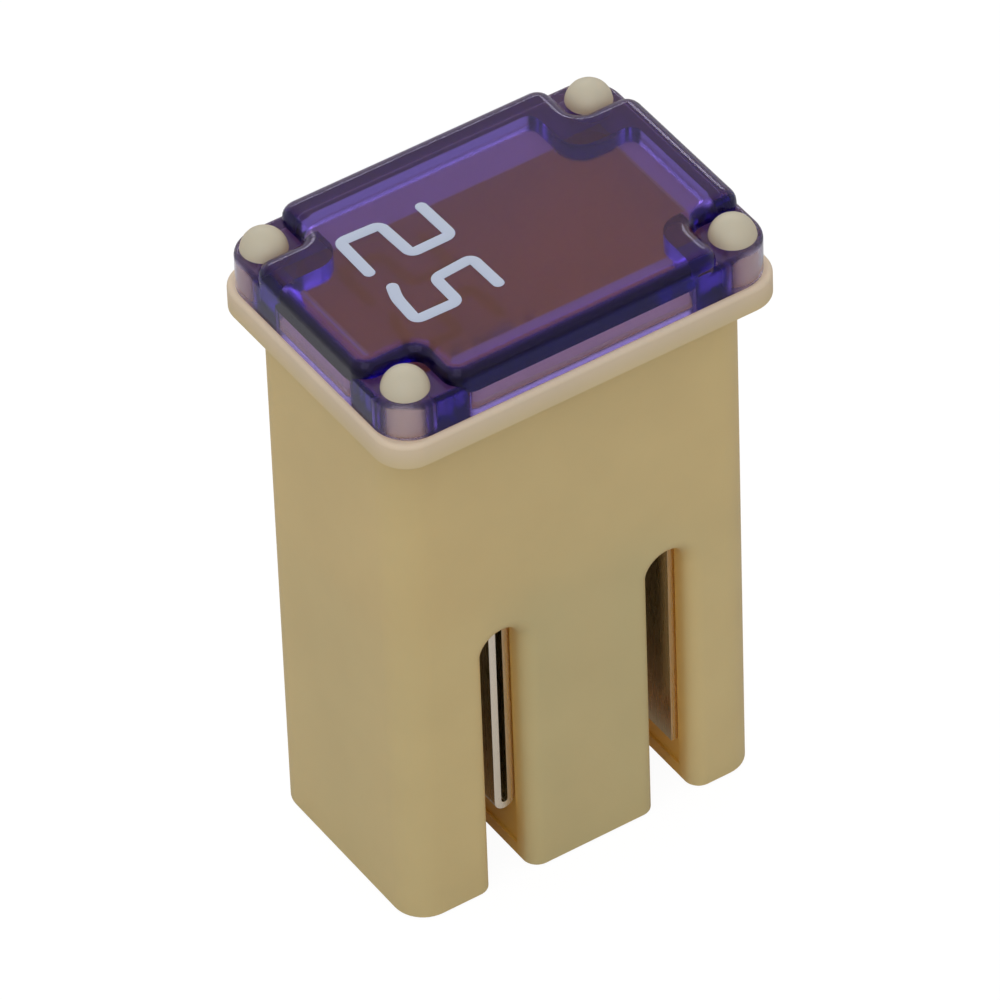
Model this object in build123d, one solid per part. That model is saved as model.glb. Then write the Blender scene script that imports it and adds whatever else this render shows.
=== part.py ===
"""Micro female fuse: a moulded two-legged housing, a folded fuse element, a tin pellet and a cover.

Millimetres, +Z up. The origin is the middle of the face that the legs stand on.
+X runs along the wide side, and -Y is the front.

The housing is one moulding: two slotted legs, a flange and four posts. The fuse element drops in
from above, the cover goes over the posts, and the post heads are formed over it with heat.
"""
import os

from build123d import *

# ---------------------------------------------------------------- driving dimensions
# Housing body
BODY_W = 13.8            # along X
BODY_D = 8.3             # along Y
BODY_H = 21.1            # standing face to the underside of the flange
BODY_CORNER_R = 1.15     # upright corners
FOOT_BEVEL = 0.1         # bevel on the edges of the standing face
WALL = 0.9               # outer walls

# Flange under the cover
FLANGE_OVER_X = 0.62     # how far it stands out past the body, each side
FLANGE_OVER_Y = 1.2
FLANGE_T = 1.1
FLANGE_CORNER_R = 1.2
FLANGE_TOP_R = 0.18      # round on its top edge
FLANGE_LOW_BEVEL = 0.16  # bevel on its lower edge
FLANGE_ROOT_BEVEL = 0.2  # sloping root where it meets the body

# Blade slots, open downwards, with half-round tops
SLOT_PITCH = 6.5
SLOT_SHIFT = 0.3         # the pair sits off centre, so one outer leg is wider
SLOT_W = 1.5
SLOT_TOP = 11.1
SLOT_LEAD_R = 0.55       # rounded lead-in on the outside of both walls
LEG_CAP = 1.3            # from the slots up to the top of the legs

# Space inside the housing
POCKET_SILL = 0.6        # bottom of the terminal pockets
POCKET_SIDE = 0.1        # the pockets are this much wider than the slots, each side
CHAMBER_CORNER_R = 0.8
CORE_W = 2.6             # core-out between the two pockets
CORE_FLOOR = 1.2

# Rim on the flange, inside the cover, which keeps the cover in place
RIM_H = 0.18
RIM_CLEAR = 0.08         # rim to the cover's walls

# Posts and their formed heads
POST_D = 1.45
POST_INSET = 1.25        # post centre to the edges of the flange
HEAD_D = 1.6
HEAD_H = 0.72

# Cover
COVER_LEDGE = 0.18       # flange left showing round the cover
COVER_H = 2.0
COVER_CORNER_R = 1.3
COVER_EDGE_R = 0.5       # round on the top edges of the raised block
RECESS_X = 1.1           # post centre to the two walls of the recess in each corner
RECESS_Y = 0.9
RECESS_CORNER_R = 0.5    # inside corner of each recess
BLOCK_END_R = 0.6        # upright edges where a recess meets the outside
SEAT_H = 1.4             # thickness of the cover under the post heads
SEAT_EDGE_R = 0.2        # round on the top edges of the four seats
COVER_WALL = 0.55        # walls round the hollow underneath
COVER_ROOF = 1.3         # thickness over that hollow
HOLLOW_REACH = 1.85      # post centre to the walls of the hollow
HOLLOW_NOTCH_R = 0.9     # its corners towards the posts
HOLLOW_CORNER_R = 0.4    # its other corners
POST_CLEAR = 0.05        # post to hole, on the radius
COVER_GAP = 0.02         # cover to flange
HEAD_GAP = 0.01          # post heads to their seats

# Fuse element, folded from one strip
STRIP_T = 0.26
STRIP_CLEAR = 0.08       # strip edges to the front and back walls
OUTER_OVER = 0.04        # outer plate's face past the edge of the slot
BLADE_GAP = 0.52         # outer plate to spring, before a blade goes in
SPRING_GAP = 0.25        # spring to the inner plate behind it
SPRING_STEP = 1.0        # the spring is narrower than the strip by this much, on one edge
PLATE_LOW = 1.75         # lower end of the outer plate
HAIRPIN_LOW = 2.4        # lowest point of the fold
WEB_CLEAR = 0.2          # top of the slot to the web that carries the outer plate
WEB_H = 0.8              # height of that web
SPRING_CLEAR = 0.3       # free end of the spring to the web
FOLD_R = 0.2             # inside radius of the upright folds
SHOULDER = 1.1           # step that rests on the top of the legs
BEND_R = 0.2             # middle radius of the bends in the strap
LINK_Z = 18.0            # height of the link
LINK_W = 2.2             # width of the link
TAPER_H = 3.4            # height over which the strap narrows to the link
NECK_W = 0.9             # width at each weak point
NECK_R = 0.28            # round end of the notches that make it
NECK_CLEAR = 0.12        # notch to the pellet

# Tin pellet, riveted through the link
PELLET_D = 1.2
PELLET_SHANK_D = 0.6
PELLET_HEAD_T = 0.35
PELLET_BEVEL = 0.1

# ---------------------------------------------------------------- sizes that follow
FLANGE_W = BODY_W + 2 * FLANGE_OVER_X
FLANGE_D = BODY_D + 2 * FLANGE_OVER_Y
FLANGE_TOP = BODY_H + FLANGE_T
COVER_W = FLANGE_W - 2 * COVER_LEDGE
COVER_D = FLANGE_D - 2 * COVER_LEDGE
COVER_Z = FLANGE_TOP + COVER_GAP
HEAD_Z = COVER_Z + SEAT_H + HEAD_GAP
POST_X = FLANGE_W / 2 - POST_INSET
POST_Y = FLANGE_D / 2 - POST_INSET
INNER_W = BODY_W - 2 * WALL
INNER_D = BODY_D - 2 * WALL
STRIP_W = INNER_D - 2 * STRIP_CLEAR
POCKET_W = SLOT_W + 2 * POCKET_SIDE
CHAMBER_FLOOR = SLOT_TOP + LEG_CAP    # the chamber is the one wide space over the legs

# Strip positions, measured from the middle of a slot, outwards from the middle of the fuse
OUTER_U = SLOT_W / 2 + OUTER_OVER - STRIP_T / 2
SPRING_U = OUTER_U - BLADE_GAP - STRIP_T
INNER_U = SPRING_U - SPRING_GAP - STRIP_T
WEB_LOW = SLOT_TOP + WEB_CLEAR
WEB_TOP = WEB_LOW + WEB_H
SPRING_TOP = WEB_LOW - SPRING_CLEAR

NEAR = 0.001             # positions closer than this are the same place


def block(width, depth, height, corner, z):
    """An upright block with round corners, standing at height z."""
    return Pos(0, 0, z) * extrude(RectangleRounded(width, depth, corner), height)


def box_between(x0, x1, y0, y1, z0, z1):
    """A box given by the positions of its sides, in either order along X."""
    return Pos((x0 + x1) / 2, (y0 + y1) / 2, (z0 + z1) / 2) * Box(abs(x1 - x0), y1 - y0, z1 - z0)


def at_posts(shape):
    """A copy of a shape at each of the four posts."""
    return [Pos(sx * POST_X, sy * POST_Y, 0) * shape for sx in (-1, 1) for sy in (-1, 1)]


def slot_x(side):
    """The middle of the slot on one side, -1 or +1."""
    return SLOT_SHIFT + side * SLOT_PITCH / 2


# ---------------------------------------------------------------- outlines of the cover
def cross_outline(width, depth, reach_x, reach_y, inner_r, outer_r):
    """A rectangle with a notch at each corner, which reaches set distances past the post."""
    x = POST_X - reach_x
    y = POST_Y - reach_y
    shape = Rectangle(width, 2 * y) + Rectangle(2 * x, depth)
    inner = [v for v in shape.vertices() if abs(abs(v.X) - x) + abs(abs(v.Y) - y) < NEAR]
    shape = fillet(inner, inner_r)
    ends = [v for v in shape.vertices() if abs(abs(v.X) - width / 2) + abs(abs(v.Y) - y) < NEAR]
    ends += [v for v in shape.vertices() if abs(abs(v.Y) - depth / 2) + abs(abs(v.X) - x) < NEAR]
    return fillet(ends, outer_r)


def hollow_outline(inset=0):
    """The hollow under the cover's roof, or the same outline a little smaller."""
    wall = COVER_WALL + inset
    reach = HOLLOW_REACH + inset
    return cross_outline(
        COVER_W - 2 * wall, COVER_D - 2 * wall, reach, reach, HOLLOW_NOTCH_R, HOLLOW_CORNER_R,
    )


# ---------------------------------------------------------------- housing
def slot_cut(side):
    """A slot with a half-round top, right through front to back and open at the bottom."""
    radius = SLOT_W / 2
    straight = SLOT_TOP - radius
    shape = Rectangle(SLOT_W, 2 * straight) + Pos(0, straight) * Circle(radius)
    return extrude(Plane.XZ * Pos(slot_x(side), 0) * shape, BODY_D, both=True)


def post():
    """A post of the housing, with the round head formed over the cover."""
    root = BODY_H + FLANGE_T / 2
    ball_r = (HEAD_D**2 / 4 + HEAD_H**2) / (2 * HEAD_H)
    shank = Pos(0, 0, (root + HEAD_Z) / 2) * Cylinder(POST_D / 2, HEAD_Z - root)
    ball = Pos(0, 0, HEAD_Z + HEAD_H - ball_r) * Sphere(ball_r)
    return shank + (ball & Pos(0, 0, HEAD_Z + ball_r) * Box(2 * HEAD_D, 2 * HEAD_D, 2 * ball_r))


def housing():
    plain = block(BODY_W, BODY_D, FLANGE_TOP, BODY_CORNER_R, 0)
    slots = slot_cut(-1) + slot_cut(1)
    body = plain - slots
    mouths = new_edges(plain, slots, combined=body)
    mouths = mouths.filter_by_position(Axis.Z, 0, SLOT_TOP, inclusive=(False, True))
    body = fillet(mouths, SLOT_LEAD_R)
    feet = body.faces().filter_by(Axis.Z).group_by(Axis.Z)[0]
    body = chamfer(feet.edges(), FOOT_BEVEL)

    flange = block(FLANGE_W, FLANGE_D, FLANGE_T, FLANGE_CORNER_R, BODY_H)
    rims = flange.faces().filter_by(Axis.Z).sort_by(Axis.Z)
    flange = chamfer(rims[0].edges(), FLANGE_LOW_BEVEL)
    flange = fillet(flange.faces().sort_by(Axis.Z)[-1].edges(), FLANGE_TOP_R)
    joined = body + flange
    root = new_edges(body, flange, combined=joined)
    root = root.filter_by_position(Axis.Z, BODY_H - NEAR, BODY_H + NEAR)
    joined = chamfer(root, FLANGE_ROOT_BEVEL)
    joined += Pos(0, 0, FLANGE_TOP) * extrude(hollow_outline(RIM_CLEAR), RIM_H)

    joined -= block(INNER_W, INNER_D, BODY_H, CHAMBER_CORNER_R, CHAMBER_FLOOR)
    half = INNER_D / 2
    for side in (-1, 1):
        edge = slot_x(side) - POCKET_W / 2
        joined -= box_between(edge, edge + POCKET_W, -half, half, POCKET_SILL, BODY_H)
    edge = SLOT_SHIFT - CORE_W / 2
    joined -= box_between(edge, edge + CORE_W, -half, half, CORE_FLOOR, BODY_H)
    for part in at_posts(post()):
        joined += part
    return joined


# ---------------------------------------------------------------- cover
def cover():
    seats = block(COVER_W, COVER_D, SEAT_H, COVER_CORNER_R, COVER_Z)
    seats = fillet(seats.faces().sort_by(Axis.Z)[-1].edges(), SEAT_EDGE_R)
    plan = cross_outline(COVER_W, COVER_D, RECESS_X, RECESS_Y, RECESS_CORNER_R, BLOCK_END_R)
    raised = Pos(0, 0, COVER_Z) * extrude(plan, COVER_H)
    raised = fillet(raised.faces().sort_by(Axis.Z)[-1].edges(), COVER_EDGE_R)

    hollow = Pos(0, 0, COVER_Z) * extrude(hollow_outline(), COVER_H - COVER_ROOF)
    shell = seats + raised - hollow
    hole = Pos(0, 0, COVER_Z) * Cylinder(POST_D / 2 + POST_CLEAR, 2 * COVER_H)
    for cut in at_posts(hole):
        shell -= cut
    return shell


# ---------------------------------------------------------------- fuse element
def strap(side):
    """Spring, hairpin, inner plate, shoulder, riser and half of the link, in one bent strip.

    The path runs in the XZ plane along the middle of the strip's thickness.
    """
    middle = slot_x(side)
    turn = (SPRING_U - INNER_U) / 2
    turn_z = HAIRPIN_LOW + STRIP_T / 2 + turn
    step_z = CHAMBER_FLOOR + STRIP_T / 2
    riser_u = INNER_U - SHOULDER

    def at(u, z):
        return (middle + side * u, z)

    spring = Line(at(SPRING_U, SPRING_TOP), at(SPRING_U, turn_z))
    fold = ThreePointArc(
        at(SPRING_U, turn_z), at(SPRING_U - turn, turn_z - turn), at(INNER_U, turn_z)
    )
    rise = FilletPolyline(
        at(INNER_U, turn_z), at(INNER_U, step_z), at(riser_u, step_z), at(riser_u, LINK_Z),
        (SLOT_SHIFT, LINK_Z), radius=BEND_R,
    )
    path = Plane.XZ * (spring + fold + rise)
    start = Plane(origin=path @ 0, z_dir=path % 0)
    strip = sweep(start * Rectangle(STRIP_T, STRIP_W), path)

    # The two ends are stamped alike and turned about the upright axis, so the narrow edge of
    # the spring is at the back on one side and at the front on the other.
    near = middle + side * (INNER_U + STRIP_T / 2)
    far = middle + side * (SPRING_U + STRIP_T)
    edge = -side * STRIP_W / 2
    low, high = sorted((edge, edge + side * SPRING_STEP))
    return strip - box_between(near, far, low, high, 0, SPRING_TOP + STRIP_T)


def outer_plate(side):
    """The plate on the far side of the blade, hung from a web folded off the inner plate."""
    middle = slot_x(side)
    half = STRIP_W / 2
    back = half - STRIP_T / 2

    def at(u, y):
        return (middle + side * u, y)

    line = FilletPolyline(
        at(INNER_U, 0), at(INNER_U, back), at(OUTER_U, back), at(OUTER_U, 0),
        radius=FOLD_R + STRIP_T / 2,
    )
    start = Plane(origin=line @ 0, z_dir=line % 0)
    web = Pos(0, 0, WEB_LOW + WEB_H / 2) * sweep(start * Rectangle(STRIP_T, WEB_H), line)
    near = middle + side * (OUTER_U - STRIP_T / 2)
    far = middle + side * (OUTER_U + STRIP_T / 2)
    flat = back - STRIP_T / 2 - FOLD_R
    return web + box_between(near, far, -half, flat, PLATE_LOW, WEB_TOP)


def side_envelope():
    """The element's outline from the side: it narrows from the terminals up to the link."""
    wide = STRIP_W / 2
    slim = LINK_W / 2
    shoulder_top = CHAMBER_FLOOR + STRIP_T
    taper_top = shoulder_top + TAPER_H
    over = LINK_Z + STRIP_T
    outline = Polyline(
        (-wide, 0), (-wide, shoulder_top), (-slim, taper_top), (-slim, over),
        (slim, over), (slim, taper_top), (wide, shoulder_top), (wide, 0), close=True,
    )
    return extrude(Plane.YZ * make_face(outline), BODY_W, both=True)


def neck_notches():
    """Round-ended notches from both edges of the link, which leave two weak points."""
    x = PELLET_D / 2 + NECK_CLEAR + NECK_R
    y = (NECK_W + LINK_W) / 2 + NECK_R
    shape = SlotCenterToCenter(LINK_W, 2 * NECK_R, rotation=90)
    notch = Pos(0, 0, LINK_Z) * extrude(shape, STRIP_T, both=True)
    return [Pos(SLOT_SHIFT + sx * x, sy * y, 0) * notch for sx in (-1, 1) for sy in (-1, 1)]


def fuse_element():
    metal = (strap(-1) + strap(1)) & side_envelope()
    for notch in neck_notches():
        metal -= notch
    metal -= Pos(SLOT_SHIFT, 0, LINK_Z) * Cylinder(PELLET_SHANK_D / 2, 2 * STRIP_T)
    return metal + outer_plate(-1) + outer_plate(1)


# ---------------------------------------------------------------- tin pellet
def tin_pellet():
    """A rivet of tin, with a flat round head on each side of the link."""
    pellet = Cylinder(PELLET_SHANK_D / 2, STRIP_T + 2 * PELLET_HEAD_T)
    head = Cylinder(PELLET_D / 2, PELLET_HEAD_T)
    for side in (-1, 1):
        pellet += Pos(0, 0, side * (STRIP_T + PELLET_HEAD_T) / 2) * head
    levels = pellet.edges().group_by(Axis.Z)
    pellet = chamfer(levels[0] + levels[-1], PELLET_BEVEL)
    return Pos(SLOT_SHIFT, 0, LINK_Z) * pellet


os.makedirs("parts", exist_ok=True)
PIECES = {
    "housing": housing(),
    "cover": cover(),
    "fuse_element": fuse_element(),
    "tin_pellet": tin_pellet(),
}
for name, piece in PIECES.items():
    export_step(piece, f"parts/{name}.step")
    print(name, len(piece.solids()), "solid", round(piece.volume, 2), "mm3")
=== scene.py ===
# %% [markdown]
# # A micro female fuse
#
# The fuse is four pieces: a moulded plastic housing with slotted legs, a clear violet cover held
# by four formed posts, a folded metal strip that is both terminals and the link between them,
# and a small tin pellet on that link. The shapes come from the CAD model. This script gives them
# their finishes, prints the rating on the cover, and sets up a small studio.

# %% Load the model
import math

import bpy
import numpy as np
from mathutils import Matrix, Vector


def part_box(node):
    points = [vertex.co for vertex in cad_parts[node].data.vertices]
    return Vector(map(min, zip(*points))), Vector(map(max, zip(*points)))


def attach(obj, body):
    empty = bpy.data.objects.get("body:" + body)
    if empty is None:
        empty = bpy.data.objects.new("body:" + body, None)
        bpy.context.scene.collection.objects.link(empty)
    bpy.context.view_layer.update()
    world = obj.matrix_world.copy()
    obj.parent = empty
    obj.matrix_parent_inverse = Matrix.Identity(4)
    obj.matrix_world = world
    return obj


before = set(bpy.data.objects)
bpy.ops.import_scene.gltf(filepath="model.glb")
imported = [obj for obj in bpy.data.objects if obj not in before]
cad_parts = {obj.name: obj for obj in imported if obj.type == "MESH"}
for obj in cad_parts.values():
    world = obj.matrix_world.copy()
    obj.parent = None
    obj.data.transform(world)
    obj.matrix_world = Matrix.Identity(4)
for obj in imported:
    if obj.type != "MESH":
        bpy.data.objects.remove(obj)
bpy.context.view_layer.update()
MM = 0.001
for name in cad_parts:
    low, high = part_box(name)
    print(name, "mm", [round((b - a) / MM, 2) for a, b in zip(low, high)])

# %% [markdown]
# ## Three small helpers
#
# Colours are easiest to choose as the sRGB hex values that a paint program shows, but shaders
# work in linear light, so one function converts them. A second adds a node to a material with
# its settings and its links in one call, and a third starts a material with its output node.

# %% Colour, node and material helpers
def linear(hex_colour):
    """sRGB hex to linear RGBA: each channel is ((c + 0.055) / 1.055) ^ 2.4, or c / 12.92 near black."""
    c = np.array([int(hex_colour[i:i + 2], 16) for i in (1, 3, 5)]) / 255
    rgb = np.where(c > 0.04045, ((c + 0.055) / 1.055) ** 2.4, c / 12.92)
    return (*rgb.tolist(), 1.0)


def add(tree, kind, inputs=None, **settings):
    """Adds a node. Each input is a number or colour, a socket, or a node that gives its first output."""
    node = tree.nodes.new(kind)
    for key, value in settings.items():
        setattr(node, key, value)
    for key, value in (inputs or {}).items():
        if isinstance(value, bpy.types.Node):
            value = value.outputs[0]
        if isinstance(value, bpy.types.NodeSocket):
            tree.links.new(value, node.inputs[key])
        else:
            node.inputs[key].default_value = value
    return node


def new_material(name):
    """An empty node material and its output node."""
    material = bpy.data.materials.new(name)
    material.use_nodes = True
    material.node_tree.nodes.clear()
    return material, add(material.node_tree, "ShaderNodeOutputMaterial")


print("linear mid grey", [round(v, 3) for v in linear("#808080")])

# %% [markdown]
# ## The camera
#
# A small object looks natural through a long lens from a little distance. The camera looks down
# at the front left corner. It could be placed by hand, but here its place follows from two
# angles, a distance, and the point that it aims at, so each can be changed by itself. A small
# roll turns the picture about the line of sight.

# %% Camera
AZIMUTH, ELEVATION, ROLL = math.radians(-32.293), math.radians(42.387), math.radians(-2.177)
AIM = Vector((0.427, 1.158, 11.322)) * MM
DISTANCE = 353.2 * MM
LENS_MM, SENSOR_MM = 387.55, 36
NEAR, FAR = 0.01, 10     # in metres, what the camera can see

back = Vector((
    math.sin(AZIMUTH) * math.cos(ELEVATION),
    -math.cos(AZIMUTH) * math.cos(ELEVATION),
    math.sin(ELEVATION),
))
level = Vector((math.cos(AZIMUTH), math.sin(AZIMUTH), 0))
lens = bpy.data.cameras.new("camera")
lens.lens, lens.sensor_width = LENS_MM, SENSOR_MM
lens.clip_start, lens.clip_end = NEAR, FAR
camera = bpy.data.objects.new("camera", lens)
turn = Matrix((level, back.cross(level), back)).transposed() @ Matrix.Rotation(ROLL, 3, "Z")
camera.matrix_world = Matrix.Translation(AIM + back * DISTANCE) @ turn.to_4x4()
bpy.context.scene.collection.objects.link(camera)
bpy.context.scene.camera = camera
print("camera at mm", [round(v / MM, 1) for v in camera.location])

# %% [markdown]
# ## The world
#
# Small products are lit softly from nearly every side. One even world light does that, and needs
# no image of a room. The background is plain white wherever the camera, a mirror or a clear body
# looks at it. That white has its own strength, so it adds no light to the object.

# %% World
WHITE = (1, 1, 1, 1)
WORLD_LIGHT = 0.72       # what the object is lit with
BACKGROUND = 1           # what is seen behind it
world = bpy.data.worlds.new("studio")
world.use_nodes = True
tree = world.node_tree
tree.nodes.clear()
path = add(tree, "ShaderNodeLightPath")
seen = path.outputs["Is Camera Ray"]
for ray in ("Is Glossy Ray", "Is Transmission Ray"):
    seen = add(tree, "ShaderNodeMath", {0: seen, 1: path.outputs[ray]}, operation="MAXIMUM")
soft = add(tree, "ShaderNodeBackground", {"Color": WHITE, "Strength": WORLD_LIGHT})
plain = add(tree, "ShaderNodeBackground", {"Color": WHITE, "Strength": BACKGROUND})
mixed = add(tree, "ShaderNodeMixShader", {0: seen, 1: soft, 2: plain})
add(tree, "ShaderNodeOutputWorld", {"Surface": mixed})
bpy.context.scene.world = world
bpy.context.scene.view_settings.view_transform = "Standard"
print("world light", WORLD_LIGHT, "background", BACKGROUND)

# %% [markdown]
# ## The lamps
#
# Two lamps add direction to the even light. The key lamp is a large soft square over the camera's
# left shoulder. The strip lamp stands behind and draws thin bright lines along the rounded edges
# of the glossy cover. It is kept narrow, because a taller one would lie over the whole top of the
# cover as a grey film.

# %% Lamps
LAMPS = {                # place and target in mm, width and height in mm, power in watts
    "key": ((-260, -260, 420), (0, 0, 12), (520, 520), 0.9),
    "strip": ((160, 330, 260), (0, 0, 18), (420, 60), 0.35),
}
for name, (place, target, (width, height), watts) in LAMPS.items():
    light = bpy.data.lights.new(name, "AREA")
    light.shape, light.energy = "RECTANGLE", watts
    light.size, light.size_y = width * MM, height * MM
    lamp = bpy.data.objects.new(name, light)
    lamp.location = Vector(place) * MM
    aim = Vector(target) * MM - lamp.location
    lamp.rotation_euler = aim.to_track_quat("-Z", "Y").to_euler()
    bpy.context.scene.collection.objects.link(lamp)
    print(name, "lamp", watts, "W")

# %% [markdown]
# ## The floor
#
# The floor is plain and pale. Seen by the camera it is lifted most of the way to white, so that
# it meets the background with no line, and what is left of its own shading is the object's soft
# shadow. Mirrors and clear bodies see it lifted a little too, so that the background they show
# stays pale.

# %% Floor
FLOOR_HALF = 3000 * MM
FLOOR_DROP = 0.02 * MM   # keeps the floor and the feet from sharing a plane
FLOOR_LIFT = 0.85        # how far it is lifted to white for the camera
BOUNCED_LIFT = 0.15      # and for what mirrors and clear bodies show of it
FLOOR_GLOW = 1.11        # makes up for the part that isn't lifted
FLOOR_GREY = "#C4C4C4"
corners = [(-1, -1), (1, -1), (1, 1), (-1, 1)]
mesh = bpy.data.meshes.new("floor")
mesh.from_pydata([(x * FLOOR_HALF, y * FLOOR_HALF, -FLOOR_DROP) for x, y in corners], [], [(0, 1, 2, 3)])
floor = bpy.data.objects.new("floor", mesh)
bpy.context.scene.collection.objects.link(floor)

matte, output = new_material("pale matte floor")
tree = matte.node_tree
path = add(tree, "ShaderNodeLightPath")
bounced = add(tree, "ShaderNodeMath", {
    0: path.outputs["Is Glossy Ray"], 1: path.outputs["Is Transmission Ray"],
}, operation="MAXIMUM")
bounced = add(tree, "ShaderNodeMath", {0: bounced, 1: BOUNCED_LIFT}, operation="MULTIPLY")
lift = add(tree, "ShaderNodeMath", {
    0: path.outputs["Is Camera Ray"], 1: FLOOR_LIFT, 2: bounced,
}, operation="MULTIPLY_ADD")
diffuse = add(tree, "ShaderNodeBsdfDiffuse", {"Color": linear(FLOOR_GREY)})
glow = add(tree, "ShaderNodeEmission", {"Color": WHITE, "Strength": FLOOR_GLOW})
mixed = add(tree, "ShaderNodeMixShader", {0: lift, 1: diffuse, 2: glow})
tree.links.new(mixed.outputs[0], output.inputs["Surface"])
mesh.materials.append(matte)
print("floor", floor.dimensions.x, "m wide")

# %% [markdown]
# ## Two helpers for finishes
#
# A moulding is not the same all over: its tool is smooth in one place and matte in another, and
# its walls are thick here and thin there. So a finish needs masks that say where a point lies.
# They could be painted, but comparing Object coordinates with real sizes keeps them sharp and
# needs no map. A second helper puts a finished material on a CAD node.

# %% Masks, and dressing a node
def zone(tree, *tests):
    """A zone's mask: 1 where all the tests hold and 0 elsewhere, the product of one comparison each."""
    mask = 1.0
    for value, comparison, limit in tests:
        test = add(tree, "ShaderNodeMath", {0: value, 1: limit}, operation=comparison)
        mask = add(tree, "ShaderNodeMath", {0: mask, 1: test}, operation="MULTIPLY")
    return mask


def dress(node, material):
    """Gives a CAD node its finish, in the material slot that it came with."""
    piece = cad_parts[node]
    if not piece.material_slots:
        piece.data.materials.append(material)
    piece.material_slots[0].material = material
    print(node, "is", material.name)


flange_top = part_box("cover")[0][2]
print("cover stands at mm", round(flange_top / MM, 2))

# %% [markdown]
# ## Housing: the tan, and the light painted on it
#
# The housing is a heat-resistant polyester moulding in pale tan. One colour would look flat,
# because the real one varies with its surface and its surroundings, so light is painted into the
# colour. It is painted paler up the flange and paler still on the rim and posts inside the cover,
# as light from above. The heads are painted paler and greyer, as lit from above too. In the
# chamber and the slots the light goes from wall to wall and picks up colour each time: that bounce
# light is painted in, as a brighter, warmer tan in the chamber and a deeper orange tan in the slots.

# %% Housing tones and painted light
WALL_TAN = "#D2C792"
# Painted light: the flange, the rim and posts, and the heads are painted paler, as lit from above; the
# heads greyer too.
HEIGHT_PAINTED_LIGHT = (         # mm above the flange where a tone starts and is full, and the tone
    (-1.3, 0.0, "#E4DAC6"),      # flange
    (0.0, 0.1, "#F4E9D8"),       # rim and posts
    (1.2, 1.45, "#C6C8B7"),      # heads
)
# Painted bounce light: the chamber is painted a brighter, warmer tan for light that goes from wall to
# wall.
CHAMBER_PAINTED_BOUNCE = "#F8E786"
CHAMBER_HALF_MM = 6.1    # just past its side walls
CHAMBER_CLEAR_MM = 0.1   # how far past the strip's edges its front and back walls count
CHAMBER_FLOOR_MM = 12.3  # just under its floor
# Painted bounce light: the slots are painted a deeper orange tan for light that goes from wall to wall.
SLOT_PAINTED_BOUNCE = "#CFAA4C"
LEGS_HALF_MM = 6.5       # takes in the pockets and slots, and leaves out the housing's sides
SLOT_DEPTH_MM = 3.8, 3.2         # distance from the middle plane where its tone starts and is full


def housing_tan_with_painted_light(tree, place):
    """The tan at a place, with painted light. Each zone's tone, painted light from above or painted bounce
    light, is mixed over the ones before it, by the zone's mask.
    """
    height = add(tree, "ShaderNodeSeparateXYZ", {0: place}).outputs["Z"]
    reach = add(tree, "ShaderNodeVectorMath", {0: place}, operation="ABSOLUTE")
    reach = add(tree, "ShaderNodeSeparateXYZ", {0: reach})
    x, y = reach.outputs["X"], reach.outputs["Y"]
    painted_layers = []
    # Painted light from above, by height.
    for start, full, tone in HEIGHT_PAINTED_LIGHT:
        rise = add(tree, "ShaderNodeMapRange", {
            "Value": height, "From Min": flange_top + start * MM, "From Max": flange_top + full * MM,
        })
        painted_layers.append((rise, tone))
    strip_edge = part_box("fuse_element")[1][1]
    chamber = zone(
        tree,
        (x, "LESS_THAN", CHAMBER_HALF_MM * MM),
        (y, "LESS_THAN", strip_edge + CHAMBER_CLEAR_MM * MM),
        (height, "GREATER_THAN", CHAMBER_FLOOR_MM * MM),
    )
    legs = zone(tree, (x, "LESS_THAN", LEGS_HALF_MM * MM), (height, "LESS_THAN", CHAMBER_FLOOR_MM * MM))
    start, full = SLOT_DEPTH_MM
    depth = add(tree, "ShaderNodeMapRange", {"Value": y, "From Min": start * MM, "From Max": full * MM})
    slots = add(tree, "ShaderNodeMath", {0: legs, 1: depth}, operation="MULTIPLY")
    tan = linear(WALL_TAN)
    # The chamber and slot tones mixed on top are painted bounce light.
    for mask, tone in [*painted_layers, (chamber, CHAMBER_PAINTED_BOUNCE), (slots, SLOT_PAINTED_BOUNCE)]:
        tan = add(tree, "ShaderNodeMix", {
            "Factor": mask, "A": tan, "B": linear(tone),
        }, data_type="RGBA").outputs["Result"]
    return tan


print("housing tones", 3 + len(HEIGHT_PAINTED_LIGHT))

# %% [markdown]
# ## Housing: the surface
#
# The tool is spark eroded, which leaves a fine matte grain, and the melt's flow leaves slow
# clouds of tone. The plastic is not quite opaque: it lets a little light in, most of it red and
# yellow, so thin edges and the lips of the slots look warmer than the flat walls. Subsurface
# scattering is the usual way to show that. Here a share of the light simply goes on through each
# surface, which keeps small forms sharp.

# %% Housing material
GRAIN_MM = 0.06          # spark-eroded grain, drawn about twice as coarse as it is
GRAIN_DEPTH_MM = 0.02
GRAIN_STRENGTH = 0.12
CLOUD_MM = 3.0           # size of the slow clouds of tone
CLOUD_NOISE = 0.3, 0.7   # the middle part of the noise, where nearly all of it lies
CLOUD_TONE = 0.97, 1.03  # what it does to the tone
THROUGH = 0.3            # share of the light that goes on through the surface
THROUGH_COLOUR = (1.0, 0.66, 0.26, 1)


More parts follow.
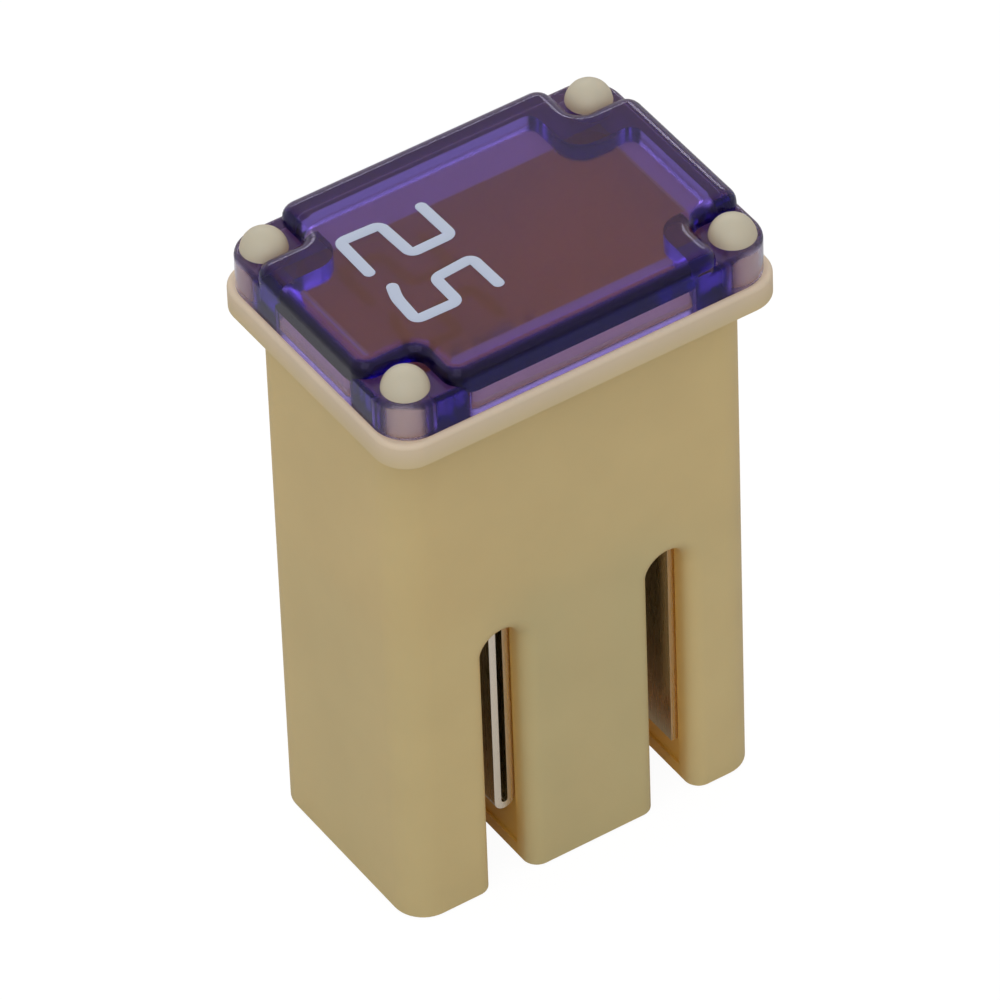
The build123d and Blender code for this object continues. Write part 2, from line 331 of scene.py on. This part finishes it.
def moulded_tan():
    """Tan polyester: matte from the tool's grain, and warm where light comes through it."""
    material, output = new_material("moulded polyester, spark-eroded matte")
    tree = material.node_tree
    place = add(tree, "ShaderNodeTexCoord").outputs["Object"]
    cloud = add(tree, "ShaderNodeTexNoise", {"Vector": place, "Scale": 1 / (CLOUD_MM * MM), "Detail": 3})
    tone = add(tree, "ShaderNodeMapRange", {
        "Value": cloud.outputs["Fac"], "From Min": CLOUD_NOISE[0], "From Max": CLOUD_NOISE[1],
        "To Min": CLOUD_TONE[0], "To Max": CLOUD_TONE[1],
    })
    tint = add(tree, "ShaderNodeVectorMath", {
        0: housing_tan_with_painted_light(tree, place), "Scale": tone,
    }, operation="SCALE")
    grain = add(tree, "ShaderNodeTexNoise", {"Vector": place, "Scale": 1 / (GRAIN_MM * MM), "Detail": 2})
    bump = add(tree, "ShaderNodeBump", {
        "Height": grain.outputs["Fac"], "Strength": GRAIN_STRENGTH, "Distance": GRAIN_DEPTH_MM * MM,
    })
    skin = add(tree, "ShaderNodeBsdfPrincipled", {
        "Base Color": tint, "Roughness": 0.5, "IOR": 1.57, "Normal": bump,
    })
    through = add(tree, "ShaderNodeBsdfTranslucent", {"Color": THROUGH_COLOUR})
    mixed = add(tree, "ShaderNodeMixShader", {0: THROUGH, 1: skin, 2: through})
    tree.links.new(mixed.outputs[0], output.inputs["Surface"])
    return material


dress("housing", moulded_tan())

# %% [markdown]
# ## Cover: where its surfaces differ
#
# The cover is moulded in one piece, but not all of it is polished. The outside is. The hollow
# underneath keeps the matte finish of the tool's core, and the holes for the posts are rougher
# still. The bottom edge is pressed on to the flange and looks dull. Masks find each of them from
# its real place: how far it is from the middle, from the top, and from the nearest post's axis.

# %% Cover zones
SKIN_MM = 0.3            # a surface deeper than this behind the sides belongs to the hollow
ROOF_MM = 1.25           # and it is at least this far below the top
POST_INSET_MM = 1.07     # from a post's axis to the sides of the cover
HOLE_MM = 0.85           # a surface nearer than this to the axis is the hole's wall
BOSS_MM = 1.2            # and one nearer than this is still not the hollow's
WALL_FROM_MM = {"X": -5.3, "Y": -3.2}    # the hollow's right and back walls lie past these
EDGE_MM = 0.005          # height of the bottom edge's zone
UPRIGHT = 0.5            # a surface stands upright when its normal's Z is under this, up or down


def cover_zones(tree):
    """Masks for the hollow, its right and back walls, the post holes and the bottom edge.

    A post's axis is found in all four corners at once, because distances from the middle are
    taken without their sign.
    """
    low, high = (np.array(corner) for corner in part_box("cover"))
    half = (high - low) / 2
    place = add(tree, "ShaderNodeTexCoord").outputs["Object"]
    height = add(tree, "ShaderNodeSeparateXYZ", {0: place}).outputs["Z"]
    offset = add(tree, "ShaderNodeVectorMath", {0: place, 1: (low + high) / 2}, operation="SUBTRACT")
    reach = add(tree, "ShaderNodeVectorMath", {0: offset}, operation="ABSOLUTE")
    post = half - POST_INSET_MM * MM
    to_post = add(tree, "ShaderNodeVectorMath", {0: reach, 1: post}, operation="SUBTRACT")
    to_post = add(tree, "ShaderNodeVectorMath", {0: to_post, 1: (1, 1, 0)}, operation="MULTIPLY")
    from_post = add(tree, "ShaderNodeVectorMath", {0: to_post}, operation="LENGTH").outputs["Value"]
    offset = add(tree, "ShaderNodeSeparateXYZ", {0: offset})
    reach = add(tree, "ShaderNodeSeparateXYZ", {0: reach})
    normal = add(tree, "ShaderNodeNewGeometry").outputs["True Normal"]
    slope = add(tree, "ShaderNodeMath", {
        0: add(tree, "ShaderNodeSeparateXYZ", {0: normal}).outputs["Z"],
    }, operation="ABSOLUTE")
    upright = (slope, "LESS_THAN", UPRIGHT)
    hollow = [
        (reach.outputs["X"], "LESS_THAN", half[0] - SKIN_MM * MM),
        (reach.outputs["Y"], "LESS_THAN", half[1] - SKIN_MM * MM),
        (height, "LESS_THAN", high[2] - ROOF_MM * MM),
        (from_post, "GREATER_THAN", BOSS_MM * MM),
    ]
    # The right and back walls are where painted shade darkens what passes through the cover.
    far = [(offset.outputs[axis], "GREATER_THAN", limit * MM) for axis, limit in WALL_FROM_MM.items()]
    return {
        "hollow": zone(tree, *hollow),
        "walls": zone(tree, *hollow, upright, *far),
        "holes": zone(tree, (from_post, "LESS_THAN", HOLE_MM * MM), upright),
        "edge": zone(tree, (height, "LESS_THAN", low[2] + EDGE_MM * MM)),
    }


# %% [markdown]
# ## Cover: clear violet polycarbonate
#
# The cover is clear violet polycarbonate, so it needs real refraction and a colour that builds up
# with the distance that light travels inside it. A tinted surface would colour thin and thick
# alike. Absorption inside the body follows the real law: the thin roof looks lightly tinted, and
# a long way through the walls looks deep blue violet.

# %% Cover material
VIOLET_PER_MM = (0.55, 0.47, 0.80)       # part of each colour left after one millimetre
DENSITY_MARGIN = 1.02    # the density is this much over the strongest loss, so no colour is under 0
OUTSIDE_ROUGH, HOLLOW_ROUGH = 0.08, 0.15
HOLE_ROUGH = 0.22        # what the post holes add to the roughness outside
# Painted shade on reflections: this tint dims and colours what the skin reflects, standing in for darker
# surroundings.
DIMMED_REFLECTION_TINT = "#8F86A8"         # what the surface reflects head on
# Painted shade: the hollow's right and back walls darken what passes to a deeper violet, standing in for
# darker surroundings behind the cover.
FAR_WALL_PAINTED_SHADE = "#9A86C8"    # how the hollow's right and back walls colour what passes
EDGE_COLOUR = "#5A4A90"  # the dull bottom edge
EDGE_DULL = 0.35         # how much of the light it takes


def clear_violet():
    """Polycarbonate: a clear skin, and a tint that follows Beer's law through the body.

    The hollow blurs what is seen through it, the holes blur the posts, and the bottom edge takes
    part of the light that would bounce up from the flange.
    """
    material, output = new_material("polycarbonate, clear violet")
    tree = material.node_tree
    zones = cover_zones(tree)
    rough = add(tree, "ShaderNodeMapRange", {
        "Value": zones["hollow"], "To Min": OUTSIDE_ROUGH, "To Max": HOLLOW_ROUGH,
    })
    rough = add(tree, "ShaderNodeMath", {
        0: zones["holes"], 1: HOLE_ROUGH, 2: rough,
    }, operation="MULTIPLY_ADD")
    # Painted shade on the hollow's right and back walls.
    tint = add(tree, "ShaderNodeMix", {
        "Factor": zones["walls"], "A": WHITE, "B": linear(FAR_WALL_PAINTED_SHADE),
    }, data_type="RGBA")
    # The specular tint is painted shade that dims the skin's reflections.
    skin = add(tree, "ShaderNodeBsdfPrincipled", {
        "Base Color": tint.outputs["Result"], "Roughness": rough, "IOR": 1.58,
        "Transmission Weight": 1.0, "Specular Tint": linear(DIMMED_REFLECTION_TINT),
    })
    dull = add(tree, "ShaderNodeBsdfDiffuse", {"Color": linear(EDGE_COLOUR)})
    share = add(tree, "ShaderNodeMath", {0: zones["edge"], 1: EDGE_DULL}, operation="MULTIPLY")
    mixed = add(tree, "ShaderNodeMixShader", {0: share, 1: skin, 2: dull})
    loss = -np.log(np.array(VIOLET_PER_MM)) / MM
    density = float(loss.max()) * DENSITY_MARGIN
    body = add(tree, "ShaderNodeVolumeAbsorption", {
        "Color": (*(1 - loss / density).tolist(), 1), "Density": density,
    })
    tree.links.new(mixed.outputs[0], output.inputs["Surface"])
    tree.links.new(body.outputs[0], output.inputs["Volume"])
    return material


dress("cover", clear_violet())

# %% [markdown]
# ## Fuse element: plated strip
#
# The strip is stamped from a copper alloy and plated with tin, which gives a soft grey shine with
# a warm cast. Rolling leaves faint lines along the strip, so the noise that sets its roughness is
# stretched along Z. Its sheared edges face the front and back, and their direction is enough to
# find them. They are painted paler than the flat sides: partly the smooth shear of the punch, and
# partly a painted highlight.

# %% Strip material
ROLLING_MM = 0.08        # width of a rolling line, drawn coarse enough to show
ROLLING_SQUEEZE = 0.04   # the pattern's scale along the strip, as a share of its scale across
STRIP_ROUGH = 0.22, 0.34
STRIP_COLOUR = "#CDB98F"
# Partly the sheared metal's own colour, partly a painted highlight on the edges facing front and back.
SHEARED_EDGE_HIGHLIGHT = "#EADFD0"
SHEARED = 0.9            # an edge is sheared when its normal's Y is over this, front or back


def plated_strip():
    """Tin plate over a copper alloy: a metal with a satin shine and fine rolling lines."""
    material, output = new_material("tin-plated copper alloy, rolled")
    tree = material.node_tree
    place = add(tree, "ShaderNodeTexCoord").outputs["Object"]
    along = add(tree, "ShaderNodeMapping", {"Vector": place, "Scale": (1, 1, ROLLING_SQUEEZE)})
    lines = add(tree, "ShaderNodeTexNoise", {"Vector": along, "Scale": 1 / (ROLLING_MM * MM), "Detail": 2})
    shine = add(tree, "ShaderNodeMapRange", {
        "Value": lines.outputs["Fac"], "To Min": STRIP_ROUGH[0], "To Max": STRIP_ROUGH[1],
    })
    normal = add(tree, "ShaderNodeNewGeometry").outputs["True Normal"]
    facing = add(tree, "ShaderNodeMath", {
        0: add(tree, "ShaderNodeSeparateXYZ", {0: normal}).outputs["Y"],
    }, operation="ABSOLUTE")
    # Painted highlight, with the sheared metal's colour, on the edges facing front and back.
    colour = add(tree, "ShaderNodeMix", {
        "Factor": zone(tree, (facing, "GREATER_THAN", SHEARED)),
        "A": linear(STRIP_COLOUR), "B": linear(SHEARED_EDGE_HIGHLIGHT),
    }, data_type="RGBA")
    skin = add(tree, "ShaderNodeBsdfPrincipled", {
        "Base Color": colour.outputs["Result"], "Metallic": 1.0, "Roughness": shine,
    })
    tree.links.new(skin.outputs[0], output.inputs["Surface"])
    return material


dress("fuse_element", plated_strip())

# %% [markdown]
# ## Pellet: cast tin
#
# The pellet is plain tin, set on the link by heat. It cools with a dull, slightly uneven skin,
# which a slow noise in the roughness gives. It shows only as a small spot through the cover, so
# it needs no more than that.

# %% Pellet material
BLOTCH_MM = 0.3          # size of a dull patch
TIN_ROUGH = 0.3, 0.55
TIN_COLOUR = "#B9BABC"


def cast_tin():
    """Tin as cast: grey, dull and a little uneven."""
    material, output = new_material("cast tin")
    tree = material.node_tree
    place = add(tree, "ShaderNodeTexCoord").outputs["Object"]
    blotch = add(tree, "ShaderNodeTexNoise", {"Vector": place, "Scale": 1 / (BLOTCH_MM * MM), "Detail": 3})
    shine = add(tree, "ShaderNodeMapRange", {
        "Value": blotch.outputs["Fac"], "To Min": TIN_ROUGH[0], "To Max": TIN_ROUGH[1],
    })
    skin = add(tree, "ShaderNodeBsdfPrincipled", {
        "Base Color": linear(TIN_COLOUR), "Metallic": 1.0, "Roughness": shine,
    })
    tree.links.new(skin.outputs[0], output.inputs["Surface"])
    return material


dress("tin_pellet", cast_tin())

# %% [markdown]
# ## The rating: centre lines
#
# The current rating is pad printed on the cover in pale ink: two digits of even strokes with
# round ends. A font would bring its own shapes, so each digit is a centre line, a few points
# joined by straight strokes, with every corner rounded by a short curve.

# %% Digits as centre lines
DIGITS = {               # x and y on the cover, in mm
    "two": [(-1.44, 2.24), (-1.4, 0.56), (-2.95, 0.54), (-3.03, 2.26), (-4.53, 2.32), (-4.56, 0.55)],
    "five": [
        (-1.49, -2.25), (-1.52, -0.78), (-3.0, -0.9), (-3.02, -2.25), (-4.59, -2.22), (-4.52, -1.0),
        (-4.34, -0.49),
    ],
}
TURN_MM = 0.25           # how far before a corner its rounding starts
CORNER = 9               # points on a rounding


def centre_line(points):
    """Rounds every corner Q between P and R with the curve B(t) = (1-t)^2 P + 2t(1-t) Q + t^2 R."""
    points = np.array(points)
    legs = np.stack([points[:-2] - points[1:-1], points[2:] - points[1:-1]])
    legs *= TURN_MM / np.linalg.norm(legs, axis=2, keepdims=True)
    t = np.linspace(0, 1, CORNER)[None, :, None]
    corner = points[1:-1, None, :]
    curve = corner + (1 - t) ** 2 * legs[0][:, None] + t ** 2 * legs[1][:, None]
    return np.vstack([points[:1], curve.reshape(-1, 2), points[-1:]])


print("digits", {digit: len(centre_line(points)) for digit, points in DIGITS.items()})

# %% [markdown]
# ## The rating: beads of ink
#
# Pad printing lays down a thin film that is thickest in the middle of a stroke. So the ink is a
# bead: half an ellipse carried along the centre line, which shrinks to a round cap at each end.
# A flat decal would do from far away, but a real film also catches the light at its edges.

# %% Surface of a bead
STROKE_MM = 0.42         # width of a stroke
INK_MM = 0.02            # thickness in the middle of a stroke
SIDES, CAP = 14, 8       # faces across a stroke, and rings in a cap
CAP_TURN = 0.47          # where the last ring is, in half turns; at 0.5 it would be a point


def ink_bead(points):
    """The profile at place s is y = w(s) cos(a), z = h(s) sin(a), for a from 0 to pi.

    Past each end of the line, at a distance d in half widths, both w and h shrink by
    sqrt(1 - d^2), which makes the round cap.
    """
    line = centre_line(points)
    d = np.sin(np.linspace(0, CAP_TURN * np.pi, CAP + 1))[1:]
    ends = np.stack([line[0] - line[1], line[-1] - line[-2]])
    ends *= STROKE_MM / 2 / np.linalg.norm(ends, axis=1, keepdims=True)
    path = np.vstack([line[0] + d[::-1, None] * ends[0], line, line[-1] + d[:, None] * ends[1]])
    cap = np.sqrt(1 - d ** 2)
    shrink = np.concatenate([cap[::-1], np.ones(len(line)), cap])[:, None]

    ahead = np.gradient(path, axis=0)
    ahead /= np.linalg.norm(ahead, axis=1, keepdims=True)
    across = np.stack([-ahead[:, 1], ahead[:, 0]], axis=1)
    angle = np.linspace(0, np.pi, SIDES + 1)
    xy = path[:, None] + across[:, None] * (STROKE_MM / 2 * shrink * np.cos(angle))[:, :, None]
    z = INK_MM * shrink * np.sin(angle)
    index = np.arange(z.size).reshape(z.shape)
    skin = np.stack([index[:-1, :-1], index[:-1, 1:], index[1:, 1:], index[1:, :-1]], axis=-1)
    base = np.stack([index[:-1, -1], index[:-1, 0], index[1:, 0], index[1:, -1]], axis=-1)
    faces = np.vstack([skin.reshape(-1, 4), base]).tolist() + [index[0, ::-1].tolist(), index[-1].tolist()]
    return np.concatenate([xy, z[:, :, None]], axis=2).reshape(-1, 3), faces


print("stroke mm", STROKE_MM, "ink mm", INK_MM)

# %% [markdown]
# ## The rating: printed
#
# The ink is an opaque blue grey with a slight gloss. Each digit is a piece of its own that rides
# with the fuse. It lies just clear of the cover, so that the two surfaces never share a plane.

# %% Printed digits
INK_COLOUR = "#A9B2C6"
INK_LIFT_MM = 0.004      # from the cover to the ink


def printed_ink():
    """Pad printing ink: opaque, slightly glossy, blue grey."""
    material, output = new_material("pad printing ink, blue grey")
    tree = material.node_tree
    skin = add(tree, "ShaderNodeBsdfPrincipled", {"Base Color": linear(INK_COLOUR), "Roughness": 0.45})
    tree.links.new(skin.outputs[0], output.inputs["Surface"])
    return material


ink = printed_ink()
cover_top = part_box("cover")[1][2]
for digit, points in DIGITS.items():
    verts, faces = ink_bead(points)
    verts = verts * MM + (0, 0, cover_top + INK_LIFT_MM * MM)
    mesh = bpy.data.meshes.new("printed_" + digit)
    mesh.from_pydata(verts, [], faces)
    mesh.shade_smooth()
    mesh.materials.append(ink)
    printed = bpy.data.objects.new("printed_" + digit, mesh)
    bpy.context.scene.collection.objects.link(printed)
    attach(printed, "root")
    print(printed.name, len(verts), "points", len(faces), "faces")
